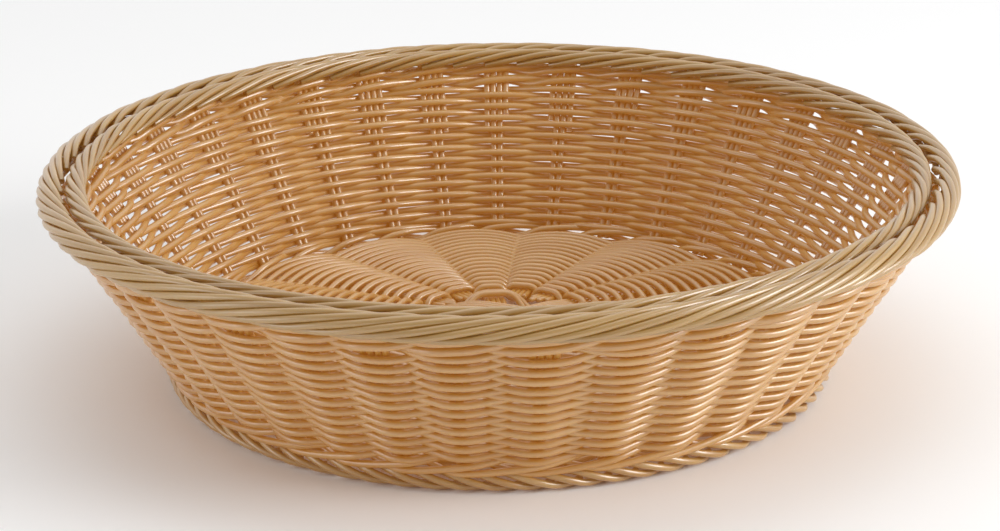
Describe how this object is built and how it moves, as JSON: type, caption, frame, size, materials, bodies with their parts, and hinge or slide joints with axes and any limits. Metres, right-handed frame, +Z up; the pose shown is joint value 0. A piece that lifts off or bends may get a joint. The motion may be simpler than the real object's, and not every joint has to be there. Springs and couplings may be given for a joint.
{
  "type": "bread basket",
  "caption": "Round, shallow bread basket woven from round plastic cane, with flared open sides, a twisted rim border and a domed woven base.",
  "frame": {"origin": "centre of the basket on the surface it stands on", "axes": "+Z up, along the basket's axis; -Y is towards the viewer; +X to the right"},
  "size_m": [0.4, 0.4, 0.0946],
  "materials": {
    "side_cane": "semi-gloss honey-beige cane, smooth, slightly translucent",
    "stake_cane": "semi-gloss honey-beige cane, smooth",
    "border_cane": "semi-gloss honey-beige cane, slightly more olive",
    "base_cane": "semi-gloss honey-beige cane, smooth"
  },
  "bodies": {
    "root": {"base_bundle_lower": "base_cane", "base_bundle_middle": "base_cane", "base_bundle_upper": "base_cane", "base_spokes": "base_cane", "base_binder": "base_cane", "base_weave": "base_cane", "foot_border": "border_cane", "foot_wale": "side_cane", "side_stakes": "stake_cane", "bye_stakes": "stake_cane", "side_weave": "side_cane", "pairing_lower": "side_cane", "pairing_upper": "side_cane", "rim_border_outer": "border_cane", "rim_border_inner": "border_cane"}
  },
  "joints": []
}
